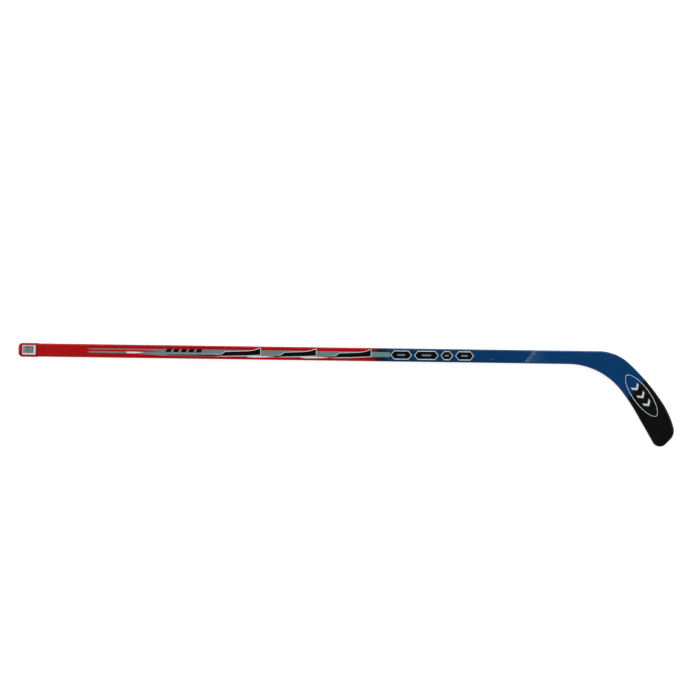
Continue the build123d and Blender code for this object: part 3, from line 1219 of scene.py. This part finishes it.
@dataclass
class Plies:
    """The wooden plies and glass sheets inside, which stay as they were made and only get their materials."""

    aspen: WoodFinish = WoodFinish("aspen_ply", srgb(226, 206, 168), srgb(196, 168, 122))
    birch: WoodFinish = WoodFinish("birch_ply", srgb(222, 196, 150), srgb(190, 152, 102), 140.0)
    ash: WoodFinish = WoodFinish("ash_core", srgb(206, 174, 122), srgb(160, 120, 72), 120.0, -54.0)
    glass: GlassFinish = GlassFinish()

    def dress(self) -> None:
        """Give every node inside the stick its material."""
        groups = (
            (self.aspen, ("shaft_centre_ply", "shaft_front_core_ply", "shaft_back_core_ply")),
            (
                self.birch,
                ("shaft_front_birch_ply", "shaft_back_birch_ply", "blade_front_ply", "blade_back_ply"),
            ),
            (self.ash, ("blade_core", "throat_front_wedge", "throat_back_wedge")),
            (self.glass, ("shaft_front_glass_sheet", "shaft_back_glass_sheet")),
        )
        for finish, names in groups:
            made = finish.material()
            for name in names:
                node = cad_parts[name]
                node.data.materials.clear()
                node.data.materials.append(made)
                LOG.info("%s: %s", name, made.name)


@dataclass
class ShaftFilm:
    """Film wrapped round the shaft, from inside the cap to the sleeve's slanting end."""

    start: float = 9.0
    lap: float = 0.6
    stations: int = 230
    finish: FilmFinish = FilmFinish()

    def build(self) -> bpy.types.Object:
        """Sweep the shaft's rounded section outside and inside.

        A point at share s of the way lies at x = start + s x (slant(y) + lap - start), so the last section
        lies on the slanting end, a small lap past it.

        Returns:
            The finished piece.
        """
        outer = self.skin(0.0, self.stations)
        inner = self.skin(FORM.film, 12)
        shell, look = sock(outer, inner), self.finish.material()
        return piece("shaft_film", shell, look, ("shaft_film_wrap",), SKIN_CREASE)

    def skin(self, inset: float, stations: int) -> Array:
        """Sections of the film's outside or inside, as stations x points x 3.

        Args:
            inset: depth below the film's outside.
            stations: number of sections.

        Returns:
            The sections.
        """
        y, z = rounded_ring(FORM.half_width - inset, FORM.half_thickness - inset, FORM.edge_radius - inset)
        share = np.linspace(0, 1, stations)[:, None]
        x = self.start + share * (FORM.slant_x(y)[None] + self.lap - self.start)
        return np.stack((x, np.broadcast_to(y, x.shape), np.broadcast_to(z, x.shape)), axis=-1)


@dataclass
class BladeSleeve:
    """Glass-fibre sock over the hosel and the blade."""

    thickness: float = 0.6
    proud: float = 0.2
    feather: float = 2.5
    ridge: float = 0.11
    ridge_at: float = 3.4
    strips: int = 30
    finish: SleeveFinish = SleeveFinish()

    def build(self) -> bpy.types.Object:
        """Build the sock as a rounded slab whose upper end thins out over a low ridge.

        Returns:
            The finished piece.
        """
        rails = FORM.blade_rails(self.proud, 9.0)
        reach = np.concatenate(([0.0], np.cumsum(np.linalg.norm(np.diff(rails.left, axis=0), axis=1))))
        rise = np.clip(reach / self.feather, 0, 1)
        thin = (self.proud - 0.03) * (1 - rise * rise * (3 - 2 * rise))
        rails.shrink = thin - self.ridge * np.exp(-(((reach - self.ridge_at) / 1.2) ** 2))
        shell = rounded_slab(
            rails,
            self.strips,
            FORM.edge_radius + self.proud,
            lambda x, y: FORM.top(x, y, self.proud),
            lambda x, y: FORM.bottom(x, y, self.proud),
        )
        return piece(
            "blade_sleeve",
            shell,
            self.finish.material(),
            ("blade_glass_sleeve",),
            SKIN_CREASE,
            self.thickness,
        )


@dataclass
class ButtCap:
    """Moulded cap with a rounded closed end, pushed over the butt."""

    length: float = 45.0
    wall: float = 0.9
    corner: float = 10.0
    lip: float = 0.4
    floor: float = 9.0
    finish: CapFinish = CapFinish(roughness=0.3, coat=0.5)

    def build(self) -> bpy.types.Object:
        """Build the cap as a rounded slab from its mouth to the butt, with a rolled lip and a pocket.

        The lip is a quarter circle from the outside to the mouth's flat ring, and the pocket's wall runs
        straight back to the solid end.

        Returns:
            The finished piece.
        """
        half = FORM.half_width + self.wall
        side = (self.length - self.lip - self.corner, 0.0)
        reach = np.concatenate(
            (np.linspace(0, side[0], 30), side[0] + np.linspace(0, arc(self.corner, 90)[0], 18)[1:])
        )
        traces = (
            Trace((0.0, half), (side, arc(self.corner, 90))),
            Trace((0.0, -half), (side, arc(self.corner, -90))),
        )
        edges = []
        for trace, sign in zip(traces, (1.0, -1.0)):
            points, heading = trace.at(reach)
            back = self.length - self.lip - points[:, 0]
            mirrored = np.column_stack((back, sign * half - (points[:, 1] - sign * half)))
            inward = np.column_stack((np.sin(heading), -np.cos(heading))) * sign
            edges.append((mirrored, inward))
        rails = Rails(edges[0][0], edges[0][1], edges[1][0], edges[1][1], np.zeros(len(reach)))
        rails.left_normal[:, 0] = np.abs(rails.left_normal[:, 0])
        rails.right_normal[:, 0] = np.abs(rails.right_normal[:, 0])
        roll = np.radians(np.linspace(0, 90, 6)[1:])
        depth = self.floor - (self.length - self.lip)
        steps = [(self.lip * (1 - float(np.cos(t))), self.lip * float(np.sin(t))) for t in roll]
        steps += [(self.wall, push) for push in (self.lip, 0.0, depth / 2, depth)] + [(6.0, depth)]
        thickness = FORM.half_thickness + self.wall
        shell = rounded_slab(
            rails,
            16,
            FORM.edge_radius + self.wall,
            lambda x, y: np.full_like(x, thickness),
            lambda x, y: np.full_like(x, -thickness),
            steps,
        )
        look = self.finish.material()
        return piece("butt_cap_moulding", shell, look, ("butt_cap",), CAP_CREASE)


@dataclass
class Label:
    """Paper label on the cap with a block of plain bars that stands for no code."""

    start: float = 9.0
    length: float = 29.8
    half_height: float = 10.5
    thickness: float = 0.15 - INK_THICKNESS
    corner: float = 1.0
    bar_block: tuple[float, float, float, float] = (11.0, 34.2, -7.0, 8.8)
    bars: int = 26
    thin_bar: float = 0.34
    bar_step: float = 0.26
    widest_bar: float = 0.8
    finish: PaperFinish = PaperFinish()

    def build(self) -> list[bpy.types.Object]:
        """Build the label, its bars and its two pale strips.

        Returns:
            The finished pieces.
        """
        base = FORM.half_thickness + ButtCap.wall
        ground = Ground((0.0, 0.0), 0.0, lambda x, y: np.full_like(x, base))
        along = self.length / 2 * (1 + np.sin(np.radians(np.linspace(-90, 90, 91))))
        edge = np.minimum(np.minimum(along, self.length - along), self.corner)
        half = self.half_height - self.corner + np.sqrt(self.corner**2 - (self.corner - edge) ** 2)
        share = np.linspace(-1, 1, 13)
        across = half[:, None] * share
        x = self.start + np.broadcast_to(along[:, None], across.shape)
        sections = [ground.lay(x, across, np.full_like(across, lift)) for lift in (self.thickness, 0.0)]
        plate = tube(np.concatenate((sections[0], sections[1][:, ::-1]), axis=1))
        look = self.finish.material()
        made = [piece("cap_label", plate, look, ("barcode_label",), CAP_CREASE)]
        raised = Ground((0.0, 0.0), 0.0, lambda x, y: np.full_like(x, base + self.thickness))
        low_x, high_x, low_y, high_y = self.bar_block
        turn = np.arange(self.bars)
        widths = self.thin_bar + self.bar_step * ((turn * 5) % 3)
        starts = np.linspace(low_x, high_x - self.widest_bar, self.bars)
        bars = [
            strip(raised, np.array([a, a + w]), np.full(2, low_y), np.full(2, high_y), 0)
            for a, w in zip(starts, widths)
        ]
        made.append(piece("label_bars", join(bars), INKS[Ink.BLACK], (), PRINT_CREASE))
        blanks = [
            strip(raised, np.array([35.4, 38.2]), np.full(2, -9.2), np.full(2, 9.2), 0),
            strip(raised, np.array([11.0, 34.2]), np.full(2, -9.8), np.full(2, -8.0), 0),
        ]
        made.append(piece("label_blanks", join(blanks), INKS[Ink.PALE], (), PRINT_CREASE))
        return made


@dataclass(frozen=True)
class Sabre:
    """Sabre motif: a thin tail, a step up and a blade that flares to a horn at its tip."""

    tip: float
    tail: float
    step: float
    tail_top: float

    def edges(self) -> tuple[Array, Array, Array]:
        """Stations and the lower and upper edge, with close stations at the step and the horn.

        Returns:
            Stations, lower edge and upper edge.
        """
        high = (
            (-self.tail, -7.2), (12.0 - self.tail, self.tail_top), (self.step - 6.0, -4.5), (self.step, -3.7),
            (self.step + 7.0, 1.9), (-50.0, 2.9), (-27.0, 4.0), (-20.0, 4.9), (-13.0, 6.2), (-8.0, 7.7),
            (-4.0, 9.5), (0.0, 10.7),
        )
        low = ((-self.tail, -7.3), (-93.0, -8.0), (-43.0, -6.4), (0.0, -4.3))
        stops = (-self.tail, -93.0, self.step - 1.0, self.step + 8.0, -27.0, 0.0)
        counts = (24, 6, 16, 20, 26)
        runs = [np.linspace(a, b, n, endpoint=False) for a, b, n in zip(stops, stops[1:], counts)]
        place = np.concatenate((*runs, [0.0]))
        return self.tip + place, np.interp(place, *zip(*low)), np.interp(place, *zip(*high))

    def outline(self, margin: float) -> tuple[Array, Array, Array]:
        """Edges of the pale outline, rolled out by the margin at the blade and thinning along the tail.

        Args:
            margin: width of the outline.

        Returns:
            Stations, lower edge and upper edge.
        """
        along, low, high = self.edges()
        wide, base, top = grown(along, low, high, margin)
        share = np.clip((wide - self.tip - self.step + 22.0) / 22.0, 0, 1)
        share = share * share * (3 - 2 * share)
        keep = share > 0
        base = np.interp(wide, along, low) * (1 - share) + base * share
        top = np.interp(wide, along, high) * (1 - share) + top * share
        return wide[keep], base[keep], top[keep]


@dataclass
class ShaftPrints:
    """Everything printed on one face of the shaft."""

    side: Face
    sabres: tuple[Sabre, ...] = (
        Sabre(543.0, 213.0, -86.0, -5.5),
        Sabre(668.0, 108.0, -78.0, -6.5),
        Sabre(791.0, 111.0, -78.0, -6.5),
    )
    outline: float = 1.1
    reach: float = 11.7
    gems: tuple[tuple[float, float], ...] = ((859.0, 22.5), (915.5, 26.0), (961.5, 12.5), (1001.0, 19.5))
    gem_half: float = 8.4
    gem_outline: float = 1.5
    heart: tuple[float, float] = (0.42, 0.22)
    dash_start: float = 330.0
    dash_pitch: float = 17.0
    dashes: int = 5
    dash_length: float = 12.0
    dash_rise: tuple[float, float] = (-0.6, 6.5)
    dash_lean: float = 0.5

    def build(self) -> list[bpy.types.Object]:
        """Build the face's prints. On the front they stand for the printed nodes.

        Returns:
            The finished pieces.
        """
        front = self.side is Face.FRONT
        height = float(self.side.value) * FORM.half_thickness
        ground = Ground((0.0, 0.0), 0.0, lambda x, y: np.full_like(x, height), self.side)
        label = self.side.name.lower()
        plans = (
            ("streak", self.streak(ground), Ink.SILVER, "streak_print"),
            ("pale_lines", self.pale_lines(ground), Ink.PALE, "streak_print"),
            ("red_lines", self.red_lines(ground), Ink.RED, "streak_print"),
            ("sabres", self.blades(ground), Ink.BLACK, "sabre_print"),
            ("gem_outlines", self.gem_plates(ground, self.gem_outline, 0), Ink.PALE, "gem_outline_print"),
            ("gems", self.gem_plates(ground, 0.0, 1), Ink.BLACK, "gem_print"),
            ("gem_hearts", self.gem_hearts(ground), Ink.SILVER, "gem_print"),
        )
        return [
            piece(
                f"{label}_{name}",
                join(shells),
                INKS[ink],
                (node,) if front else (),
                PRINT_CREASE,
            )
            for name, shells, ink, node in plans
        ]

    def run(self, ground: Ground, high: Line, low: Line, layer: int) -> Shell:
        """Plate between two broken lines, each given by its corners.

        Args:
            ground: surface the print lies on.
            high: corners of the upper line.
            low: corners of the lower line.
            layer: layer of ink.

        Returns:
            The plate.
        """
        high_x, high_y = zip(*high)
        low_x, low_y = zip(*low)
        start, end = max(high_x[0], low_x[0]), min(high_x[-1], low_x[-1])
        along = np.unique(np.concatenate((np.linspace(start, end, 40), high_x, low_x)))
        along = along[(along >= start) & (along <= end)]
        return strip(ground, along, np.interp(along, low_x, low_y), np.interp(along, high_x, high_y), layer)

    def streak(self, ground: Ground) -> list[Shell]:
        """Two pinstripes, the widening wedge and the broad band.

        Args:
            ground: surface the print lies on.

        Returns:
            The plates.
        """
        upper = self.run(
            ground,
            ((155.0, 4.6), (163.0, 5.3), (318.0, 5.9), (323.0, 6.2)),
            ((155.0, 4.2), (163.0, 3.4), (290.0, 3.0), (323.0, 0.5)),
            0,
        )
        band = self.run(
            ground,
            (
                (155.0, -2.4), (163.0, -1.0), (230.0, -0.8), (290.0, -0.6), (321.0, 0.4),
                (323.0, 6.3), (834.0, 6.1),
            ),
            (
                (155.0, -2.8), (163.0, -4.3), (244.0, -4.5), (300.0, -7.0), (322.0, -8.6),
                (740.0, -8.8), (793.0, -5.2), (834.0, -5.2),
            ),
            1,
        )
        return [upper, band]

    def pale_lines(self, ground: Ground) -> list[Shell]:
        """Pale outlines round the sabres, bright wedges below them, a hairline and the wedge's highlight.

        Args:
            ground: surface the print lies on.

        Returns:
            The plates.
        """
        shells = []
        for sabre in self.sabres:
            along, low, high = sabre.outline(self.outline)
            low, high = np.clip(low, -self.reach, None), np.clip(high, None, self.reach)
            shells.append(strip(ground, along, low, high, 2))
        for start in (511.0, 632.0):
            high = ((start, -8.1), (start + 14, -7.0), (start + 34, -6.8), (start + 78, -7.6))
            low = ((start, -8.6), (start + 14, -10.1), (start + 34, -9.8), (start + 78, -7.9))
            shells.append(self.run(ground, high, low, 2))
        shells.append(self.run(ground, ((340.0, -4.6), (454.0, -3.2)), ((340.0, -5.0), (454.0, -3.9)), 2))
        high = ((243.0, -0.8), (262.0, -0.8), (280.0, -1.8))
        low = ((243.0, -4.3), (262.0, -4.7), (280.0, -2.4))
        shells.append(self.run(ground, high, low, 2))
        return shells

    def red_lines(self, ground: Ground) -> list[Shell]:
        """Thin red slivers between the foot of one sabre and the tail of the next.

        Args:
            ground: surface the print lies on.

        Returns:
            The plates.
        """
        spans = ((547.0, 582.0, -3.9), (672.0, 704.0, -4.5))
        shells = []
        for start, end, y in spans:
            high = ((start, y + 0.9), (start + 12, y + 0.9), (end, y + 0.3))
            low = ((start, y - 1.1), (start + 12, y - 0.9), (end, y))
            shells.append(self.run(ground, high, low, 2))
        return shells

    def blades(self, ground: Ground) -> list[Shell]:
        """The black sabres, and slanting dashes in place of small lettering.

        Args:
            ground: surface the print lies on.

        Returns:
            The plates.
        """
        shells = [strip(ground, *sabre.edges(), 3) for sabre in self.sabres]
        low, high = (np.full(4, rise) for rise in self.dash_rise)
        for start in self.dash_start + self.dash_pitch * np.arange(self.dashes):
            along = start + np.linspace(0, self.dash_length, 4)
            shells.append(strip(ground, along, low, high, 2, self.dash_lean))
        return shells

    def gem_plates(self, ground: Ground, grow: float, layer: int) -> list[Shell]:
        """Long hexagons with a point at each end, in place of large lettering.

        Args:
            ground: surface the print lies on.
            grow: how much larger than the gem.
            layer: layer of ink.

        Returns:
            The plates.
        """
        shells = []
        for centre, half in self.gems:
            shells.append(self.hexagon(ground, centre, half + grow, self.gem_half + grow, layer))
        return shells

    def gem_hearts(self, ground: Ground) -> list[Shell]:
        """A small silver facet in the middle of each hexagon."""
        long, tall = self.heart[0], self.heart[1] * self.gem_half
        return [self.hexagon(ground, centre, long * half, tall, 2) for centre, half in self.gems]

    def hexagon(self, ground: Ground, centre: float, half: float, height: float, layer: int) -> Shell:
        """One hexagon with its corners at the ends and its flats along the shaft.

        Args:
            ground: surface the print lies on.
            centre: place along the shaft.
            half: half length.
            height: half height.
            layer: layer of ink.

        Returns:
            The plate.
        """
        slope = max(half - 0.8 * height, 0.2 * half)
        along = np.array([-half, -slope, 0.0, slope, half])
        rise = np.interp(np.abs(along), (slope, half), (height, 0.04))
        return strip(ground, centre + along, -rise, rise, layer)


@dataclass
class BladeBadge:
    """Oval emblem on the blade: a ring round three plain chevrons that point down the blade."""

    centre: tuple[float, float] = (1399.4, -83.7)
    angle: float = -53.0
    half_length: float = 57.2
    half_width: float = 19.3
    stroke: float = 1.25
    proud: float = 0.2
    chevron_centres: tuple[float, ...] = (-22.0, 0.0, 22.0)
    chevron_height: float = 9.0
    chevron_bar: tuple[float, float] = (1.0, 7.0)
    chevron_sweep: float = 8.0

    def build(self) -> list[bpy.types.Object]:
        """Build the emblem on the front of the blade.

        Returns:
            The finished pieces.
        """
        ground = Ground(self.centre, self.angle, lambda x, y: FORM.top(x, y, self.proud))
        shells = self.ring(ground) + self.chevrons(ground)
        ink = INKS[Ink.BADGE]
        return [piece("blade_badge", join(shells), ink, ("blade_badge_print",), PRINT_CREASE)]

    def bow(self, along: Array, inset: float) -> Array:
        """Upper half of the oval, a little slimmer than an ellipse, moved in by an inset."""
        share = np.clip(np.abs(along) / (self.half_length - inset), 0, 1)
        return (self.half_width - inset) * (1 - share**2) ** 0.56

    def ring(self, ground: Ground) -> list[Shell]:
        """Upper and lower half of the oval ring, with stations bunched towards its ends by a sine.

        Args:
            ground: surface the print lies on.

        Returns:
            The two halves.
        """
        along = self.half_length * np.sin(np.radians(np.linspace(-90, 90, 120)))
        outer, inner = self.bow(along, 0.0), self.bow(along, self.stroke)
        return [strip(ground, along, inner, outer, 0), strip(ground, along, -outer, -inner, 0)]

    def chevrons(self, ground: Ground) -> list[Shell]:
        """Chevrons of two bars each: from the axis each bar leans back by its sweep over its height.

        Args:
            ground: surface the print lies on.

        Returns:
            The bars.
        """
        shells = []
        lean = self.chevron_sweep / self.chevron_height
        for centre in self.chevron_centres:
            along = centre + np.linspace(*self.chevron_bar, 3)
            none, full = np.zeros(3), np.full(3, self.chevron_height)
            shells.append(strip(ground, along, none, full, 0, -lean))
            shells.append(strip(ground, along, -full, none, 0, lean))
        return shells


@dataclass
class Studio:
    """Pale floor, soft lights and the camera straight above."""

    centre: tuple[float, float] = (0.0070, 0.1006)
    width: float = 1.5700
    turn: float = 0.796
    lens: float = 300.0
    floor_half: float = 12.0
    floor_gap: float = 0.0004
    floor_glow: float = 0.775
    floor_tones: tuple[float, float] = (0.46, 0.44)

    def build(self) -> None:
        """Build the floor, the lights, the world and the camera."""
        scene = bpy.context.scene
        scene.view_settings.view_transform = "Standard"
        self.floor()
        for name, place, size, power in (
            ("key", (0.1, 1.9, 1.9), (2.4, 1.0), 56.0),
            ("fill", (-0.4, -1.9, 2.1), (2.4, 1.0), 7.0),
            ("left", (-2.3, 0.2, 2.0), (1.4, 1.4), 20.0),
            ("right", (2.3, 0.2, 2.0), (1.4, 1.4), 20.0),
        ):
            self.lamp(name, place, size, power)
        world = bpy.data.worlds.new("studio")
        world.use_nodes = True
        tree = world.node_tree
        place = tree.nodes.new("ShaderNodeTexCoord")
        apart = tree.nodes.new("ShaderNodeSeparateXYZ")
        glow = tree.nodes.new("ShaderNodeValToRGB")
        tree.links.new(place.outputs["Generated"], apart.inputs[0])
        tree.links.new(apart.outputs["Z"], glow.inputs["Fac"])
        tree.links.new(glow.outputs["Color"], tree.nodes["Background"].inputs["Color"])
        for stop, (spot, shade) in zip(glow.color_ramp.elements, ((0.55, 0.5), (0.95, 0.02))):
            stop.position = spot
            stop.color = (shade, shade, shade, 1.0)
        scene.world = world
        camera = bpy.data.objects.new("camera", bpy.data.cameras.new("camera"))
        scene.collection.objects.link(camera)
        camera.data.lens = self.lens
        face = DATUM.middle + FORM.half_thickness * MM
        camera.location = (*self.centre, face + self.width * self.lens / camera.data.sensor_width)
        camera.rotation_euler = (0.0, 0.0, float(np.radians(self.turn)))
        scene.camera = camera

    def lamp(
        self, name: str, place: tuple[float, float, float], size: tuple[float, float], power: float
    ) -> None:
        """Rectangular soft light that looks at the middle of the stick.

        Args:
            name: name of the light.
            place: where it stands.
            size: its two sides.
            power: watts.
        """
        light = bpy.data.lights.new(name, "AREA")
        light.shape = "RECTANGLE"
        light.size, light.size_y = size
        light.energy = power
        made = bpy.data.objects.new(name, light)
        bpy.context.scene.collection.objects.link(made)
        made.location = place
        way = np.array(place) - np.array((0.0, 0.0, 0.0))
        made.rotation_mode = "QUATERNION"
        made.rotation_quaternion = Vector(way).to_track_quat("Z", "Y")

    def floor(self) -> None:
        """Plain pale floor just under the stick."""
        mesh = bpy.data.meshes.new("floor")
        half, gap = self.floor_half, -self.floor_gap
        corners = [(-half, -half, gap), (half, -half, gap), (half, half, gap), (-half, half, gap)]
        mesh.from_pydata(corners, [], [(0, 1, 2, 3)])
        recipe = Recipe("floor")
        cloud = recipe.noise(recipe.mapped((1, 1, 1)), 3.0, 2.0)
        tones = [(tone, tone, tone, 1.0) for tone in self.floor_tones]
        colour = recipe.blend(recipe.math("MULTIPLY", cloud, 0.2), *tones)
        rough = recipe.math("ADD", recipe.math("MULTIPLY", cloud, 0.05), 0.85)
        normal = recipe.bump(cloud, 0.02, 0.0001)
        glow = self.floor_glow
        mesh.materials.append(
            recipe.finish(colour, rough, normal, Specular_IOR_Level=0.1, Emission_Strength=glow)
        )
        made = bpy.data.objects.new("floor", mesh)
        bpy.context.scene.collection.objects.link(made)


INKS: dict[Ink, bpy.types.Material] = {}


def mix_inks() -> None:
    """Make the ink materials that the prints share."""
    inks = (
        InkFinish(Ink.SILVER.value, srgb(104, 130, 130), srgb(92, 116, 118), 0.1),
        InkFinish(Ink.PALE.value, srgb(206, 214, 210), srgb(184, 196, 194)),
        InkFinish(Ink.BLACK.value, srgb(7, 7, 8), srgb(13, 13, 14)),
        InkFinish(Ink.RED.value, srgb(196, 60, 72), srgb(176, 40, 52)),
        InkFinish(Ink.BADGE.value, srgb(196, 202, 202), srgb(168, 176, 178)),
    )
    for ink, finish in zip((Ink.SILVER, Ink.PALE, Ink.BLACK, Ink.RED, Ink.BADGE), inks):
        INKS[ink] = finish.material()


def main() -> None:
    """Build the stick from the inside out, then the studio round it."""
    logging.basicConfig(level=logging.INFO, format="%(message)s")
    mix_inks()
    Plies().dress()
    ShaftFilm().build()
    BladeSleeve().build()
    ButtCap().build()
    Label().build()
    for side in Face:
        ShaftPrints(side).build()
    BladeBadge().build()
    Studio().build()


if __name__ == "__main__":
    main()
